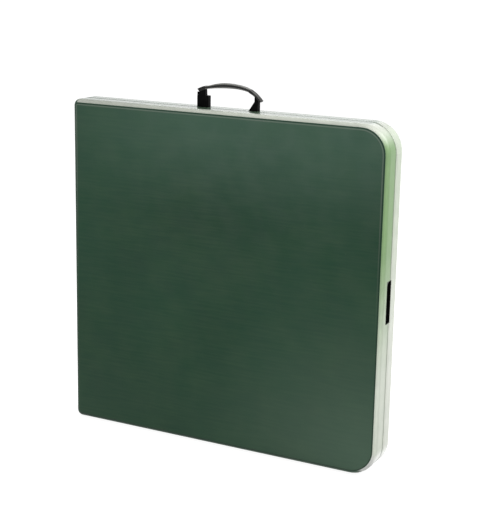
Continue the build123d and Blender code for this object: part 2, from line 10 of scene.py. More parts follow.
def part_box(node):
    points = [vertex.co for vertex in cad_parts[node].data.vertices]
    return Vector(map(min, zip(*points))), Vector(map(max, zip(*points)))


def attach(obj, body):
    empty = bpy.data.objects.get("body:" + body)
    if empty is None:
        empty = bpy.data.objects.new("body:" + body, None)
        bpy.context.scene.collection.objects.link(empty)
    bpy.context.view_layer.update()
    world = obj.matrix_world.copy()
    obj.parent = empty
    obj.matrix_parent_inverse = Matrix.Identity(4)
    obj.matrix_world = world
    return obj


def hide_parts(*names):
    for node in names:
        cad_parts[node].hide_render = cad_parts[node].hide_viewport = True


# A folding camping table, closed and standing on its long edge like a case.
# Metres: Z up, Y from the front half to the rear half, X from the fold to the table end.

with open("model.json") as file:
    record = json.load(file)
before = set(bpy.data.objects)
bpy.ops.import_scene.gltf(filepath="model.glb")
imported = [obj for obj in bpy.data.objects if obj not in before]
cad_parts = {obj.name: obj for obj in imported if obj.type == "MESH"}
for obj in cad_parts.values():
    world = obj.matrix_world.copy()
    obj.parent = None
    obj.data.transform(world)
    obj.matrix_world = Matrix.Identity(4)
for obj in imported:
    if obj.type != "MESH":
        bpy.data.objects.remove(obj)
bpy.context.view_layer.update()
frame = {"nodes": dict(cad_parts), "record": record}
nodes = frame["nodes"]
bodyOf = {node: body for body, members in frame["record"]["behaviour"]["bodies"].items() for node in members}
slotOf = {row["node"]: row["material_slot"] for row in frame["record"]["subparts"]}
mm = 0.001
print("frame loaded:", len(nodes), "nodes")


# Shader node helpers

def tint(red, green, blue):
    # An sRGB colour of 0 to 255 as the linear colour that Blender reads
    share = np.array([red, green, blue]) / 255
    linear = np.where(share > 0.04045, ((share + 0.055) / 1.055) ** 2.4, share / 12.92)
    return (*[float(value) for value in linear], 1.0)


def addNode(tree, kind, inputs=None, **settings):
    node = tree.nodes.new(kind)
    for key, value in settings.items():
        setattr(node, key, value)
    for key, value in (inputs or {}).items():
        if isinstance(value, bpy.types.NodeSocket):
            tree.links.new(value, node.inputs[key])
        else:
            node.inputs[key].default_value = value
    return node


def calc(tree, operation, first, second=0.0):
    return addNode(tree, "ShaderNodeMath", {0: first, 1: second}, operation=operation).outputs[0]


def noise(tree, place, scale, detail, stretch=None):
    if stretch:
        place = addNode(tree, "ShaderNodeMapping", {"Vector": place, "Scale": stretch}).outputs[0]
    return addNode(tree, "ShaderNodeTexNoise", {"Vector": place, "Scale": scale, "Detail": detail}).outputs[0]


def remap(tree, value, fromLow, fromHigh, toLow, toHigh):
    settings = {0: value, 1: fromLow, 2: fromHigh, 3: toLow, 4: toHigh}
    return addNode(tree, "ShaderNodeMapRange", settings, interpolation_type="SMOOTHSTEP").outputs[0]


def patches(tree, place, look, stretch=None):
    # Noise between two values: look holds its scale and detail, then the four numbers of a remap
    scale, detail, *levels = look
    return remap(tree, noise(tree, place, scale, detail, stretch), *levels)


def product(tree, first, *others):
    for other in others:
        first = calc(tree, "MULTIPLY", first, other)
    return first


def ridge(tree, value, start, middle, end):
    # Rises from 0 at the start to 1 in the middle, and falls to 0 at the end
    rising = remap(tree, value, start, middle, 0.0, 1.0)
    return product(tree, rising, remap(tree, value, middle, end, 1.0, 0.0))


def blendColour(tree, share, first, second):
    mix = addNode(tree, "ShaderNodeMix", data_type="RGBA")
    for index, value in ((0, share), (6, first), (7, second)):
        if isinstance(value, bpy.types.NodeSocket):
            tree.links.new(value, mix.inputs[index])
        else:
            mix.inputs[index].default_value = value
    return mix.outputs[2]


def lift(tree, height, distance, strength, under=None):
    inputs = {"Height": height, "Distance": distance, "Strength": strength}
    if under:
        inputs["Normal"] = under
    return addNode(tree, "ShaderNodeBump", inputs).outputs[0]


def startMaterial(name):
    material = bpy.data.materials.new(name)
    material.use_nodes = True
    tree = material.node_tree
    place = addNode(tree, "ShaderNodeTexCoord")
    return material, tree, tree.nodes["Principled BSDF"], place


# Moulded polyethylene of the two halves: satin dark green with a fine pebble, and an outer rim painted pale,
# painted light standing in for the bright light on its sides.
# Four numbers are a remap, from low and high to low and high. Six start with a noise's scale and detail.
tableLook = {
    "green": tint(23, 67, 45),
    "deepGreen": tint(17, 59, 38),
    "blotch": (3.2, 4.0, 0.3, 0.7, 0.0, 1.0),
    "mottle": (17.0, 7.0, 0.35, 0.75, 0.0, 0.05),
    "speck": (150.0, 6.0, 0.68, 0.78, 0.0, 0.10),
    "streak": (260.0, 5.0, 0.3, 0.75, 0.0, 0.05),
    "streakStretch": (0.06, 1.0, 1.0),
    "paleGreen": tint(140, 182, 160),
    "wornUp": (0.40, 0.60, 0.0, 0.17),     # by height
    "wornAlong": (-0.34, -0.02, 0.35, 1.0),
    "dullGreen": tint(140, 164, 145),
    "dullSpot": (0.30, -0.03, 0.02),
    "dullReach": (0.0, 0.38, 0.21, 0.0),   # by distance from that spot
    "dullFoot": (0.0, 0.20, 0.05, 0.0),
    "edgeDark": tint(14, 40, 27),
    "edgeLine": (0.890, 0.935, 0.972),     # a line of painted shade where a face starts to turn
    "innerLine": (0.968, 0.990, 0.99985),  # and a painted highlight line inside it
    "innerUp": (0.2, 0.6, 0.0, 0.27),

    # The rim's pale colours are painted light for the bright light on its sides; the green also tints the
    # face's marks
    "rimGreen": tint(112, 138, 98),
    "rimWhite": tint(186, 189, 180),
    "rimCloud": (42.0, 5.0, 0.25, 0.75, 0.90, 1.0),
    "rimTilt": (0.872, 0.892, 1.0, 0.0),   # the paler rim starts where a face turns this far
    "rimUnder": (-0.94, -0.82, 0.0, 1.0),  # and stops where it turns down to the floor
    "rimFold": (-0.45, -0.15, 0.0, 1.0),   # or towards the fold
    "rimReach": (-19 * mm, -16 * mm, 0.0, 1.0),  # it ends this far inside the outline
    "cornerRound": 45 * mm,
    "leastFlat": 0.001,
    # Painted light on the rim: whiter on the rear half, by the floor and on the upper side
    "rearHalf": (0.0, 1.5 * mm, 0.0, 1.0),
    "rearWhite": (0.15, 0.55, 1.0, 0.70),
    "lowWhite": (0.15, 0.42, 0.86, 0.0),
    "topWhite": (0.22, 0.95, 0.0, 0.95),
    "edgeGain": (0.15, 0.86, 1.0, 1.75),   # painted light: how much brighter the rim is by its edge
    "topGrey": tint(80, 84, 76),
    "dustTilt": (0.7, 0.97, 0.0, 1.0),
    "dustAlong": (-0.28, 0.12, 1.0, 0.50),
    "dustBehind": (-0.060, 0.006, 0.0, 0.90),
    "topGreen": tint(50, 78, 56),
    "topGreenShare": 0.88,
    "levelDepth": (17 * mm, 29 * mm, 1.0, 0.0),  # by distance from the seam
    "levelTilt": (0.94, 0.998, 0.0, 1.0),
    "cornerWhite": tint(246, 247, 243),
    "bleachTilt": (-0.40, -0.02, 1.0, 0.0),
    "seamGrey": tint(88, 98, 84),
    "farTurn": (0.12, 0.6, 0.0, 0.85),     # painted shade on the rear edge of the upper side
    "farTilt": (0.6, 0.9, 0.0, 1.0),
    "seamGrime": (0.8 * mm, 2.6 * mm, 0.62, 0.0),
    "lineDepth": 5.6 * mm,
    "mouldLine": (0.0, 1.1 * mm, 0.35, 0.0),
    "slotDark": tint(9, 11, 9),
    "slotBox": ((0.302, -0.0150, 0.2716), (0.330, 0.0036, 0.3464)),

    "rough": (26.0, 5.0, 0.3, 0.7, 0.40, 0.52),
    "rimPolish": 0.10,
    "pebbleScale": 780.0,
    "pebbleDepth": 0.05 * mm,
    "waveScale": 9.0,
    "waveDetail": 2.0,
    "waveDepth": 0.07 * mm,
    "bumpStrength": 0.5,
    "gloss": 1.30,
    "coatGloss": 1.4,
    "coatRough": 0.12,
}


def pastOutline(tree, spot):
    # Distance past a rounded rectangle: |max(q, 0)| + min(max(q), 0) - r, where q = |p| - (half - r)
    look = tableLook
    low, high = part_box("front_tabletop")
    sides = []
    for axis in (0, 2):
        away = calc(tree, "ABSOLUTE", calc(tree, "SUBTRACT", spot[axis], (low[axis] + high[axis]) / 2))
        sides.append(calc(tree, "SUBTRACT", away, (high[axis] - low[axis]) / 2 - look["cornerRound"]))
    squares = [calc(tree, "POWER", calc(tree, "MAXIMUM", side, 0.0), 2.0) for side in sides]
    past = calc(tree, "SQRT", calc(tree, "ADD", *squares))
    past = calc(tree, "ADD", past, calc(tree, "MINIMUM", calc(tree, "MAXIMUM", *sides), 0.0))
    return calc(tree, "SUBTRACT", past, look["cornerRound"])


def rimFinish(tree, spot, facing, way, turned, level):
    # Painted light: white by the floor, on the rear half and on the upper side, and green between; by the
    # floor it is a painted reflection of the floor
    look = tableLook
    rear = product(tree, remap(tree, spot[1], *look["rearHalf"]), remap(tree, spot[2], *look["rearWhite"]))
    lower = remap(tree, spot[2], *look["lowWhite"])
    upper = remap(tree, way[1], *look["topWhite"])
    white = calc(tree, "MAXIMUM", rear, calc(tree, "MAXIMUM", lower, upper))
    colour = blendColour(tree, white, look["rimGreen"], look["rimWhite"])
    # Painted light pales it towards its edge, and painted shade greys the upper side, most near the fold
    gain = remap(tree, turned, *look["edgeGain"])
    colour = addNode(tree, "ShaderNodeVectorMath", {0: colour, 3: gain}, operation="SCALE").outputs[0]
    topShadeShare = product(tree, remap(tree, way[1], *look["dustTilt"]), remap(tree, spot[0], *look["dustAlong"]))
    behind = remap(tree, spot[1], *look["dustBehind"])
    colour = blendColour(tree, product(tree, topShadeShare, behind), colour, look["topGrey"])
    # Where the upper side is level it keeps its green, and its gloss mirrors what stands on it
    colour = blendColour(tree, product(tree, level, look["topGreenShare"]), colour, look["topGreen"])
    # Below the end's corner it is painted white, a painted reflection of the floor
    colour = blendColour(tree, remap(tree, way[1], *look["bleachTilt"]), colour, look["cornerWhite"])
    # Painted shade greys the rear edge of the upper side
    farEdge = product(tree, remap(tree, facing[1], *look["farTurn"]), remap(tree, way[1], *look["farTilt"]))
    colour = blendColour(tree, farEdge, colour, look["seamGrey"])
    # Painted shade in the seam, and a faint moulding line beside it on each half
    fromSeam = calc(tree, "ABSOLUTE", spot[1])
    seamShadeShare = remap(tree, fromSeam, *look["seamGrime"])
    fromLine = calc(tree, "ABSOLUTE", calc(tree, "SUBTRACT", fromSeam, look["lineDepth"]))
    lines = calc(tree, "MAXIMUM", seamShadeShare, remap(tree, fromLine, *look["mouldLine"]))
    return blendColour(tree, lines, colour, look["seamGrey"])


def faceFinish(tree, place, spot, turned, outer):
    # Blotches, specks and fine streaks, with a painted highlight paler above and a painted reflection of the
    # floor paler at the end by the floor
    look = tableLook
    colour = blendColour(tree, patches(tree, place, look["blotch"]), look["deepGreen"], look["green"])
    streak = patches(tree, place, look["streak"], look["streakStretch"])
    mottle = calc(tree, "ADD", patches(tree, place, look["mottle"]), streak)
    marks = calc(tree, "MAXIMUM", mottle, patches(tree, place, look["speck"]))
    colour = blendColour(tree, marks, colour, look["rimGreen"])
    # Painted highlight: paler towards the top of the face, less towards the fold
    worn = product(tree, remap(tree, spot[2], *look["wornUp"]), remap(tree, spot[0], *look["wornAlong"]))
    colour = blendColour(tree, worn, colour, look["paleGreen"])
    # Painted reflection of the floor: paler near the lower corner at the end and along the bottom
    ends = {0: place, 1: look["dullSpot"]}
    reach = addNode(tree, "ShaderNodeVectorMath", ends, operation="DISTANCE").outputs[1]
    dull = calc(tree, "ADD", remap(tree, reach, *look["dullReach"]), remap(tree, spot[2], *look["dullFoot"]))
    colour = blendColour(tree, dull, colour, look["dullGreen"])
    # Painted shade: a darker line where the face starts to turn at its border
    edge = product(tree, ridge(tree, turned, *look["edgeLine"]), outer)
    colour = blendColour(tree, edge, colour, look["edgeDark"])
    # Painted highlight: a lighter line inside the border, stronger higher up
    inner = product(tree, ridge(tree, turned, *look["innerLine"]), outer)
    inner = product(tree, inner, remap(tree, spot[2], *look["innerUp"]))
    return blendColour(tree, inner, colour, look["rimWhite"])


def makeTableGreen():
    look = tableLook
    material, tree, shader, coordinates = startMaterial("tableGreen")
    place = coordinates.outputs["Object"]
    spot = addNode(tree, "ShaderNodeSeparateXYZ", {0: place}).outputs
    facing = addNode(tree, "ShaderNodeSeparateXYZ", {0: coordinates.outputs["Normal"]}).outputs
    turned = calc(tree, "ABSOLUTE", facing[1])
    # Which way a face turns, seen square to the table surface: (x, z) / sqrt(1 - y^2) of its normal
    flat = calc(tree, "SUBTRACT", 1.0, calc(tree, "POWER", turned, 2.0))
    flat = calc(tree, "SQRT", calc(tree, "MAXIMUM", flat, look["leastFlat"]))
    way = [calc(tree, "DIVIDE", facing[axis], flat) for axis in (0, 2)]

    # The outer rim: faces turned away from the table surface, near the outline, painted pale as painted light
    outer = remap(tree, pastOutline(tree, spot), *look["rimReach"])
    rim = product(tree, remap(tree, turned, *look["rimTilt"]), outer, patches(tree, place, look["rimCloud"]))
    under = remap(tree, way[1], *look["rimUnder"])
    rim = product(tree, rim, product(tree, under, remap(tree, way[0], *look["rimFold"])))
    level = remap(tree, calc(tree, "ABSOLUTE", spot[1]), *look["levelDepth"])
    level = product(tree, remap(tree, way[1], *look["levelTilt"]), level)

    face = faceFinish(tree, place, spot, turned, outer)
    colour = blendColour(tree, rim, face, rimFinish(tree, spot, facing, way, turned, level))
    # The finger slot's walls are in deep shade
    inSlot = 1.0
    for axis, (start, end) in enumerate(zip(*look["slotBox"])):
        inSlot = product(tree, inSlot, calc(tree, "GREATER_THAN", spot[axis], start))
        inSlot = product(tree, inSlot, calc(tree, "LESS_THAN", spot[axis], end))
    tree.links.new(blendColour(tree, inSlot, colour, look["slotDark"]), shader.inputs["Base Color"])

    polish = product(tree, rim, look["rimPolish"])
    rough = calc(tree, "SUBTRACT", patches(tree, place, look["rough"]), polish)
    tree.links.new(rough, shader.inputs["Roughness"])
    wave = noise(tree, place, look["waveScale"], look["waveDetail"])
    wave = lift(tree, wave, look["waveDepth"], look["bumpStrength"])
    pebble = {"Vector": place, "Scale": look["pebbleScale"]}
    pebble = addNode(tree, "ShaderNodeTexVoronoi", pebble, feature="SMOOTH_F1").outputs["Distance"]
    grain = lift(tree, pebble, look["pebbleDepth"], look["bumpStrength"], wave)
    tree.links.new(grain, shader.inputs["Normal"])
    tree.links.new(product(tree, level, rim), shader.inputs["Coat Weight"])
    shader.inputs["IOR"].default_value = look["gloss"]
    shader.inputs["Coat IOR"].default_value = look["coatGloss"]
    shader.inputs["Coat Roughness"].default_value = look["coatRough"]
    return material


# Moulded black pieces: the handle, and the nylon fittings in the legs and the latch. The greys of the arch
# and its sleeves are painted sheen
blackLook = {
    "handleBlack": {
        "dark": tint(5, 5, 5), "worn": tint(15, 15, 15), "rough": 0.46, "grain": 1500.0, "gloss": 1.10,
    },
    # The arch's pale grey is a painted highlight on black plastic; its shade and top colours are painted
    # light too
    "archBlack": {
        "dark": tint(150, 150, 146), "worn": tint(174, 174, 169),
        "rough": 0.46, "grain": 1500.0, "gloss": 1.14,
        "shade": tint(46, 46, 47),
        "recess": (0.86, 0.94),    # it ends between these shares of the half width
        "recessRise": (0.5, 0.8, 1.0, 0.0),    # and where the faces turn up this far
        "top": tint(106, 106, 104),
        "topRise": (0.6, 0.95, 0.0, 1.0),
        "dullEnd": (20 * mm, 50 * mm, 0.0, 0.65),
    },
    # The sleeves' grey is a painted sheen on black plastic
    "sleeveBlack": {
        "dark": tint(52, 52, 51), "worn": tint(74, 74, 72), "rough": 0.46, "grain": 1500.0, "gloss": 1.14,
    },
    "fittingBlack": {
        "dark": tint(28, 28, 30), "worn": tint(54, 54, 56), "rough": 0.46, "grain": 1100.0, "gloss": 1.40,
    },
    "footRubber": {
        "dark": tint(33, 32, 31), "worn": tint(72, 70, 66), "rough": 0.78, "grain": 700.0, "gloss": 1.45,
    },
}
# What all of them share
mouldingLook = {
    "dust": (75.0, 6.0, 0.45, 0.8, 0.0, 0.55),
    "roughPatches": (160.0, 4.0, 0.3, 0.7),
    "roughSpread": (-0.06, 0.08),
    "grainDetail": 2.0,
    "grainDepth": 0.06 * mm,
    "grainStrength": 0.5,
}


def archColour(tree, coordinates, colour, look):
    # The handle's arch: painted shade darkens it between its lips and towards its right end, and its upward
    # faces are painted a darker grey than its lips, whose pale grey is a painted highlight
    low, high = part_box("handle_strap")
    spot = addNode(tree, "ShaderNodeSeparateXYZ", {0: coordinates.outputs["Object"]}).outputs
    depth = calc(tree, "ABSOLUTE", calc(tree, "SUBTRACT", spot[1], (low.y + high.y) / 2))
    reach = [share * (high.y - low.y) / 2 for share in look["recess"]]
    rising = addNode(tree, "ShaderNodeSeparateXYZ", {0: coordinates.outputs["Normal"]}).outputs[2]
    colour = blendColour(tree, remap(tree, rising, *look["topRise"]), colour, look["top"])
    colour = blendColour(tree, remap(tree, spot[0], *look["dullEnd"]), colour, look["shade"])
    recessShadeShare = product(tree, remap(tree, depth, *reach, 1.0, 0.0), remap(tree, rising, *look["recessRise"]))
    return blendColour(tree, recessShadeShare, colour, look["shade"])


def makeBlack(name):
    look = blackLook[name]
    shared = mouldingLook
    material, tree, shader, coordinates = startMaterial(name)
    place = coordinates.outputs["Object"]
    colour = blendColour(tree, patches(tree, place, shared["dust"]), look["dark"], look["worn"])
    if "recess" in look:
        colour = archColour(tree, coordinates, colour, look)
    tree.links.new(colour, shader.inputs["Base Color"])
    spread = [look["rough"] + change for change in shared["roughSpread"]]
    tree.links.new(patches(tree, place, (*shared["roughPatches"], *spread)), shader.inputs["Roughness"])
    grain = noise(tree, place, look["grain"], shared["grainDetail"])
    tree.links.new(lift(tree, grain, shared["grainDepth"], shared["grainStrength"]), shader.inputs["Normal"])
    shader.inputs["IOR"].default_value = look["gloss"]
    return material


# Grey powder coat on the steel tubes, rails and stays
powderLook = {
    "grey": tint(158, 161, 164),
    "shade": tint(138, 141, 145),
    "tone": (12.0, 4.0, 0.3, 0.7, 0.0, 1.0),
    "toneRough": (0.0, 1.0, 0.36, 0.46),
    "chip": tint(96, 93, 90),
    "rub": (95.0, 7.0, 0.66, 0.74, 0.0, 0.6),
    "rubStretch": (0.2, 1.0, 1.0),
    "peelScale": 420.0,
    "peelDetail": 2.0,
    "peelDepth": 0.08 * mm,
    "peelStrength": 0.45,
    "coat": 0.15,
    "coatRough": 0.25,
}


def makeLegGrey():
    look = powderLook
    material, tree, shader, coordinates = startMaterial("legGrey")
    place = coordinates.outputs["Object"]
    tone = patches(tree, place, look["tone"])
    colour = blendColour(tree, tone, look["shade"], look["grey"])
    rub = patches(tree, place, look["rub"], look["rubStretch"])
    tree.links.new(blendColour(tree, rub, colour, look["chip"]), shader.inputs["Base Color"])
    tree.links.new(remap(tree, tone, *look["toneRough"]), shader.inputs["Roughness"])
    peel = noise(tree, place, look["peelScale"], look["peelDetail"])
    tree.links.new(lift(tree, peel, look["peelDepth"], look["peelStrength"]), shader.inputs["Normal"])
    shader.inputs["Coat Weight"].default_value = look["coat"]
    shader.inputs["Coat Roughness"].default_value = look["coatRough"]
    return material


# Zinc-plated fasteners and pins, with faint turning marks
zincLook = {
    "bright": tint(206, 206, 200),
    "dull": tint(168, 166, 156),
    "tarnish": (110.0, 5.0, 0.35, 0.7, 0.0, 1.0),
    "tarnishRough": (0.0, 1.0, 0.24, 0.42),
    "markScale": 260.0,
    "markDetail": 3.0,
    "markStretch": (6.0, 0.6, 6.0),
    "markDepth": 0.03 * mm,
    "markStrength": 0.4,
}


def makeZinc():
    look = zincLook
    material, tree, shader, coordinates = startMaterial("platedSteel")
    place = coordinates.outputs["Object"]
    tarnish = patches(tree, place, look["tarnish"])
    tree.links.new(blendColour(tree, tarnish, look["bright"], look["dull"]), shader.inputs["Base Color"])
    tree.links.new(remap(tree, tarnish, *look["tarnishRough"]), shader.inputs["Roughness"])
    marks = noise(tree, place, look["markScale"], look["markDetail"], look["markStretch"])
    tree.links.new(lift(tree, marks, look["markDepth"], look["markStrength"]), shader.inputs["Normal"])
    shader.inputs["Metallic"].default_value = 1.0
    return material


finishes = {
    "tabletop_green": makeTableGreen(),
    "handle_black": makeBlack("handleBlack"),
    "arch_black": makeBlack("archBlack"),
    "sleeve_black": makeBlack("sleeveBlack"),
    "fitting_black": makeBlack("fittingBlack"),
    "foot_rubber": makeBlack("footRubber"),
    "leg_grey": makeLegGrey(),
    "plated_steel": makeZinc(),
}
for nodeName, node in nodes.items():
    for materialSlot in node.material_slots:
        materialSlot.material = finishes[slotOf[nodeName]]
print("finishes set:", ", ".join(finishes))


# Piece helpers

def addPiece(name, mesh, stoodFor, finish=None):
    # A new piece that rides with the CAD nodes that it stands for
    piece = bpy.data.objects.new(name, mesh)
    bpy.context.scene.collection.objects.link(piece)
    if stoodFor[0].startswith("handle_"):
        points = np.empty(len(mesh.vertices) * 3, dtype=np.float32)
        mesh.vertices.foreach_get("co", points)
        mesh.vertices.foreach_set("co", leanOut(points.reshape(-1, 3)).astype(np.float32).ravel())
        mesh.update()
    mesh.materials.clear()
    mesh.materials.append(finishes[finish or slotOf[stoodFor[0]]])
    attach(piece, bodyOf[stoodFor[0]])
    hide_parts(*stoodFor)
    return piece


def gridMesh(name, points):
    # points[i, j] is a surface point for step i along the path and step j around it. Neighbours make quads,
    # and the last step around meets the first.
    along, around = points.shape[:2]
    index = np.arange(along * around).reshape(along, around)
    index = np.concatenate([index, index[:, :1]], axis=1)
    corners = [index[:-1, :-1], index[:-1, 1:], index[1:, 1:], index[1:, :-1]]
    quads = np.stack(corners, axis=-1).reshape(-1, 4)
    mesh = bpy.data.meshes.new(name)
    mesh.from_pydata(points.reshape(-1, 3).tolist(), [], quads.tolist())
    mesh.update()
    return mesh


# How near points are merged, and the angles in degrees under which faces are joined and shaded as one
mergeLook = {"poles": 0.001 * mm, "seams": 0.002 * mm, "flatAngle": 1, "smoothAngle": 32}


def closeAndTurnOut(mesh):
    # Merges poles and seams, and turns every face outwards
    shell = bmesh.new()
    shell.from_mesh(mesh)
    bmesh.ops.remove_doubles(shell, verts=shell.verts, dist=mergeLook["poles"])
    bmesh.ops.recalc_face_normals(shell, faces=shell.faces)
    shell.to_mesh(mesh)
    shell.free()
    mesh.shade_smooth()


def mergedCopy(nodeName, name):
    # The CAD node's shape as one joined mesh, its flat stretches made single faces
    mesh = nodes[nodeName].data.copy()
    mesh.name = name
    if "custom_normal" in mesh.attributes:
        mesh.attributes.remove(mesh.attributes["custom_normal"])
    shell = bmesh.new()
    shell.from_mesh(mesh)
    bmesh.ops.remove_doubles(shell, verts=shell.verts, dist=mergeLook["seams"])
    flatAngle = math.radians(mergeLook["flatAngle"])
    bmesh.ops.dissolve_limit(shell, angle_limit=flatAngle, verts=shell.verts, edges=shell.edges)
    bmesh.ops.recalc_face_normals(shell, faces=shell.faces)
    shell.to_mesh(mesh)
    shell.free()
    mesh.shade_smooth()
    mesh.set_sharp_from_angle(angle=math.radians(mergeLook["smoothAngle"]))
    return mesh


# The handle's left end leans a little
leanLook = {
    "shift": (-2.0 * mm, 0.0, 1.4 * mm),   # how far it stands out and up
    "across": (-38 * mm, -58 * mm),        # eased in between these places along the case
    "up": (16 * mm, 24 * mm),              # and these heights above it
}


def leanOut(points):
    # Smoothstep 3t^2 - 2t^3 across and up, on points in metres
    look = leanLook
    above = points[..., 2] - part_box("rear_tabletop")[1].z
    share = 1.0
    for value, (start, end) in ((points[..., 0], look["across"]), (above, look["up"])):
        step = np.clip((value - start) / (end - start), 0, 1)
        share = share * step ** 2 * (3 - 2 * step)
    return points + share[..., None] * np.array(look["shift"])


# Moulded and stamped pieces whose edges are broken a little, with the width of the round in millimetres
softEdges = {
    "handle_left_leg": 1.1,
    "handle_right_leg": 1.1,
    "handle_left_sleeve": 0.3,
    "handle_right_sleeve": 0.3,
    "latch_slider": 0.5,
    "latch_guide": 0.6,
    "latch_keeper": 0.35,
}
bevelLook = {"steps": 3, "angle": 40}
ownFinish = {"handle_left_sleeve": "sleeve_black", "handle_right_sleeve": "sleeve_black"}


def pieceName(nodeName):
    first, *others = nodeName.split("_")
    return first + "".join(word.capitalize() for word in others)


for nodeName, width in softEdges.items():
    mesh = mergedCopy(nodeName, pieceName(nodeName))
    piece = addPiece(pieceName(nodeName), mesh, [nodeName], ownFinish.get(nodeName))
    bevel = piece.modifiers.new("edge", "BEVEL")
    bevel.width = width * mm
    bevel.segments = bevelLook["steps"]
    bevel.limit_method = "ANGLE"
    bevel.angle_limit = math.radians(bevelLook["angle"])
    bevel.harden_normals = True
print("soft-edged pieces:", len(softEdges))


# The handle's arch: an I-shaped moulding that is deepest in the middle. Its edges are shares of the half span
# and the rise, from the left end to the right.
archLook = {
    "upper": [(-1.0, 0.676), (-0.765, 0.826), (-0.515, 0.945), (-0.29, 0.99), (-0.06, 1.0),
              (0.163, 0.987), (0.387, 0.932), (0.563, 0.840), (0.73, 0.69), (0.947, 0.402)],
    "lower": [(-0.944, 0.589), (-0.68, 0.735), (-0.42, 0.785), (-0.2, 0.800), (0.07, 0.808),
              (0.25, 0.798), (0.4, 0.770), (0.55, 0.725), (0.7, 0.645), (0.918, 0.37)],
    "halfSpan": 62.5 * mm,
    "rise": 43.8 * mm,
    "curveDegree": 6,
    "flute": 0.17,             # how far its sides are drawn in
    "fluteHeight": 0.62,       # and over what share of its height
    "squareness": 0.30,
    "sharpAngle": 50,
    "stepsAlong": 90,
    "stepsAround": 56,
}


def archEdge(shares, along):
    # A smooth curve through the share points, by a polynomial in the distance along them
    look = archLook
    points = np.array(shares) * [look["halfSpan"], look["rise"]]
    reach = np.linspace(0, 1, len(points))
    curves = [np.polyfit(reach, points[:, axis], look["curveDegree"]) for axis in (0, 1)]
    return np.stack([np.polyval(curve, along) for curve in curves], axis=-1)


def makeArch():
    # The cross-section is a rounded square: (|cos t|^k, |sin t|^k) with signs, its sides drawn in by a flute
    # of 1 - f (1 - (rise / h)^4)
    look = archLook
    low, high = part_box("handle_strap")
    caseTop = high.z - look["rise"]
    along = np.linspace(0, 1, look["stepsAlong"])
    turn = np.linspace(0, 2 * np.pi, look["stepsAround"], endpoint=False)
    upper = archEdge(look["upper"], along)
    lower = archEdge(look["lower"], along)
    side = np.sign(np.cos(turn)) * np.abs(np.cos(turn)) ** look["squareness"]
    rise = np.sign(np.sin(turn)) * np.abs(np.sin(turn)) ** look["squareness"]
    flute = 1 - look["flute"] * np.clip(1 - (rise / look["fluteHeight"]) ** 4, 0, 1)
    middle = (upper + lower) / 2
    half = (upper - lower) / 2
    flat = middle[:, None, :] + half[:, None, :] * rise[None, :, None]
    depth = (low.y + high.y) / 2 + (high.y - low.y) / 2 * side * flute
    points = np.empty((len(along), len(turn), 3))
    points[..., 0] = flat[..., 0]
    points[..., 1] = depth[None, :]
    points[..., 2] = flat[..., 1] + caseTop
    ends = points.mean(axis=1, keepdims=True)
    ends = np.repeat(ends, len(turn), axis=1)
    mesh = gridMesh("handleArch", np.concatenate([ends[:1], points, ends[-1:]]))
    closeAndTurnOut(mesh)
    mesh.set_sharp_from_angle(angle=math.radians(look["sharpAngle"]))
    addPiece("handleArch", mesh, ["handle_strap"], "arch_black")


makeArch()
print("handle arch made")


# Cross-recessed screws in place of the plain ones
screwLook = {
    "slotHalfWidth": 0.14,     # shares of the head's radius
    "slotReach": 0.62,
    "slotDepth": 0.55,         # shares of the head's height
    "crown": 0.30,
    "headHeight": 0.5,         # a share of the radius
    "headMost": 0.35,          # and at most this share of the length
    "shank": 0.5,
    "sharpAngle": 35,
    "stepsOut": 14,
    "stepsAround": 48,
    "sortDecimals": 5,
}


def looseBoxes(nodeName):
    # Lowest and highest corners of each separate solid in a CAD node
    shell = bmesh.new()
    shell.from_mesh(nodes[nodeName].data)
    bmesh.ops.remove_doubles(shell, verts=shell.verts, dist=mergeLook["seams"])
    boxes = []
    waiting = set(shell.verts)
    while waiting:
        heap = [waiting.pop()]
        found = []
        while heap:
            vert = heap.pop()
            found.append(vert.co.copy())
            for edge in vert.link_edges:
                other = edge.other_vert(vert)
                if other in waiting:
                    waiting.remove(other)
                    heap.append(other)
        found = np.array(found)
        boxes.append((found.min(0), found.max(0)))
    shell.free()
    return sorted(boxes, key=lambda box: tuple(np.round(box[0], screwLook["sortDecimals"])))


def screwMesh(name, boxes, axis, facing):
    # Each screw is a revolved profile, and its crown sinks where the cross |x| < w or |y| < w lies
    # within its reach
    look = screwLook
    turn = np.linspace(0, 2 * np.pi, look["stepsAround"], endpoint=False)
    others = [index for index in range(3) if index != axis]
    parts = []
    for low, high in boxes:
        radius = (high[others[0]] - low[others[0]]) / 2
        length = high[axis] - low[axis]
        headHigh = min(look["headHeight"] * radius, look["headMost"] * length)
        shank = look["shank"] * radius
        out = np.linspace(0, 1, look["stepsOut"])
        crown = look["crown"] * headHigh * (1 - out ** 2)
        profileOut = np.concatenate([out * radius, [radius, shank, shank, 0]])
        ends = [-headHigh, -headHigh, -length, -length]
        profileUp = np.concatenate([crown - look["crown"] * headHigh, ends])
        x = profileOut[:, None] * np.cos(turn)
        y = profileOut[:, None] * np.sin(turn)
        width = look["slotHalfWidth"] * radius
        across, outward = np.minimum(np.abs(x), np.abs(y)), np.maximum(np.abs(x), np.abs(y))
        inSlot = (across < width) & (outward < look["slotReach"] * radius)
        inSlot[look["stepsOut"]:] = False
        up = profileUp[:, None] - inSlot * look["slotDepth"] * headHigh
        centre = (low + high) / 2
        face = high[axis] if facing > 0 else low[axis]
        points = np.empty(x.shape + (3,))
        points[..., others[0]] = centre[others[0]] + x
        points[..., others[1]] = centre[others[1]] + y
        points[..., axis] = face + facing * up
        parts.append(gridMesh(name, points))
    shell = bmesh.new()
    for part in parts:
        shell.from_mesh(part)
        bpy.data.meshes.remove(part)
    mesh = bpy.data.meshes.new(name)
    shell.to_mesh(mesh)
    shell.free()
    closeAndTurnOut(mesh)
    mesh.set_sharp_from_angle(angle=math.radians(look["sharpAngle"]))
    return mesh


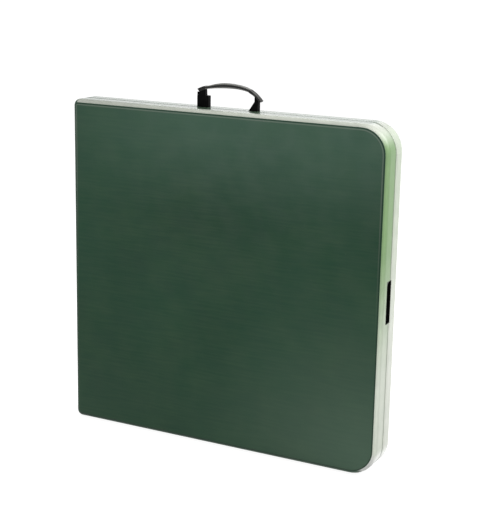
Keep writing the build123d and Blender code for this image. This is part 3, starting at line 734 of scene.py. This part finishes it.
# Screw nodes, with the axis that their heads face along and its sense
screwNodes = {
    "front_rail_screws": (1, 1),
    "front_stay_bracket_screws": (1, 1),
    "rear_rail_screws": (1, -1),
    "rear_stay_bracket_screws": (1, -1),
    "latch_guide_screws": (0, -1),
    "latch_keeper_screws": (0, -1),
}
for nodeName, (axis, facing) in screwNodes.items():
    mesh = screwMesh(pieceName(nodeName), looseBoxes(nodeName), axis, facing)
    addPiece(pieceName(nodeName), mesh, [nodeName])
print("screws made:", len(screwNodes), "sets")


# Floor, light and camera
stageLook = {
    "floorHalf": 30.0,
    "floorWhite": 0.31,
    "floorShade": 0.29,
    "floorCloud": (2.0, 3.0, 0.3, 0.7, 0.0, 1.0),
    "floorRough": 0.9,
    "floorGlow": 0.90,
    "ambient": 0.50,
}


def seenByEye(tree):
    # 1 for camera, mirror and see-through rays, which show the background as white
    path = addNode(tree, "ShaderNodeLightPath").outputs
    eye = calc(tree, "MAXIMUM", path["Is Camera Ray"], path["Is Glossy Ray"])
    return calc(tree, "MAXIMUM", eye, path["Is Transmission Ray"])


def makeFloor():
    look = stageLook
    half = look["floorHalf"]
    mesh = bpy.data.meshes.new("floor")
    corners = [(-half, -half, 0), (half, -half, 0), (half, half, 0), (-half, half, 0)]
    mesh.from_pydata(corners, [], [(0, 1, 2, 3)])
    floor = bpy.data.objects.new("floor", mesh)
    bpy.context.scene.collection.objects.link(floor)
    material = bpy.data.materials.new("floorWhite")
    material.use_nodes = True
    tree = material.node_tree
    shader = tree.nodes["Principled BSDF"]
    place = addNode(tree, "ShaderNodeTexCoord").outputs["Object"]
    shade, white = ((look[key],) * 3 + (1.0,) for key in ("floorShade", "floorWhite"))
    cloud = patches(tree, place, look["floorCloud"])
    tree.links.new(blendColour(tree, cloud, shade, white), shader.inputs["Base Color"])
    shader.inputs["Roughness"].default_value = look["floorRough"]
    shader.inputs["Specular IOR Level"].default_value = 0.0
    shader.inputs["Emission Color"].default_value = (1, 1, 1, 1)
    glow = calc(tree, "MULTIPLY", seenByEye(tree), look["floorGlow"])
    tree.links.new(glow, shader.inputs["Emission Strength"])
    mesh.materials.append(material)


def makeWorld():
    world = bpy.data.worlds.new("studio")
    bpy.context.scene.world = world
    world.use_nodes = True
    tree = world.node_tree
    background = tree.nodes["Background"]
    background.inputs["Color"].default_value = (1, 1, 1, 1)
    strength = remap(tree, seenByEye(tree), 0.0, 1.0, stageLook["ambient"], 1.0)
    tree.links.new(strength, background.inputs["Strength"])


lamps = {
    "topRight": {"at": (2.3, 0.9, 2.3), "aim": (0.1, 0.0, 0.35), "size": 1.8, "power": 140.0},
    "behindTop": {"at": (-0.8, 2.4, 2.4), "aim": (0.0, 0.0, 0.5), "size": 2.0, "power": 28.0},
    "frontSheen": {"at": (-0.95, -2.4, 0.50), "aim": (0.1, 0.0, 0.5), "size": 0.9, "power": 9.0},
    "frontFill": {"at": (-1.0, -2.8, 2.2), "aim": (0.0, 0.0, 0.35), "size": 2.2, "power": 5.0},
}


def makeLamp(name, look):
    light = bpy.data.lights.new(name, "AREA")
    light.shape = "SQUARE"
    light.size = look["size"]
    light.energy = look["power"]
    lamp = bpy.data.objects.new(name, light)
    bpy.context.scene.collection.objects.link(lamp)
    lamp.location = look["at"]
    towards = Vector(look["aim"]) - Vector(look["at"])
    lamp.rotation_euler = towards.to_track_quat("-Z", "Y").to_euler()


# The camera's place and turn, fitted to the corners and the seam of the folded table
eyeLook = {
    "at": (1.0911, -2.0178, 0.8991),
    "yaw": 27.556,
    "pitch": -13.858,
    "roll": 1.135,
    "focalPixels": 1322.1,
    "pixelsHigh": 529,
    "sensor": 36.0,
}


def makeCamera():
    look = eyeLook
    yaw, pitch, roll = (math.radians(look[key]) for key in ("yaw", "pitch", "roll"))
    ahead = Matrix.Rotation(yaw, 3, "Z") @ Vector((0, math.cos(pitch), math.sin(pitch)))
    across = Matrix.Rotation(yaw, 3, "Z") @ Vector((1, 0, 0))
    above = across.cross(ahead)
    right = across * math.cos(roll) + above * math.sin(roll)
    up = above * math.cos(roll) - across * math.sin(roll)
    data = bpy.data.cameras.new("camera")
    data.sensor_fit = "AUTO"
    data.sensor_width = look["sensor"]
    data.lens = look["focalPixels"] / look["pixelsHigh"] * look["sensor"]
    camera = bpy.data.objects.new("camera", data)
    bpy.context.scene.collection.objects.link(camera)
    camera.matrix_world = Matrix.Translation(look["at"]) @ Matrix((right, up, -ahead)).transposed().to_4x4()
    bpy.context.scene.camera = camera


makeFloor()
makeWorld()
for lampName, lampLook in lamps.items():
    makeLamp(lampName, lampLook)
makeCamera()
bpy.context.scene.view_settings.view_transform = "Standard"
print("stage set:", len(lamps), "lamps")
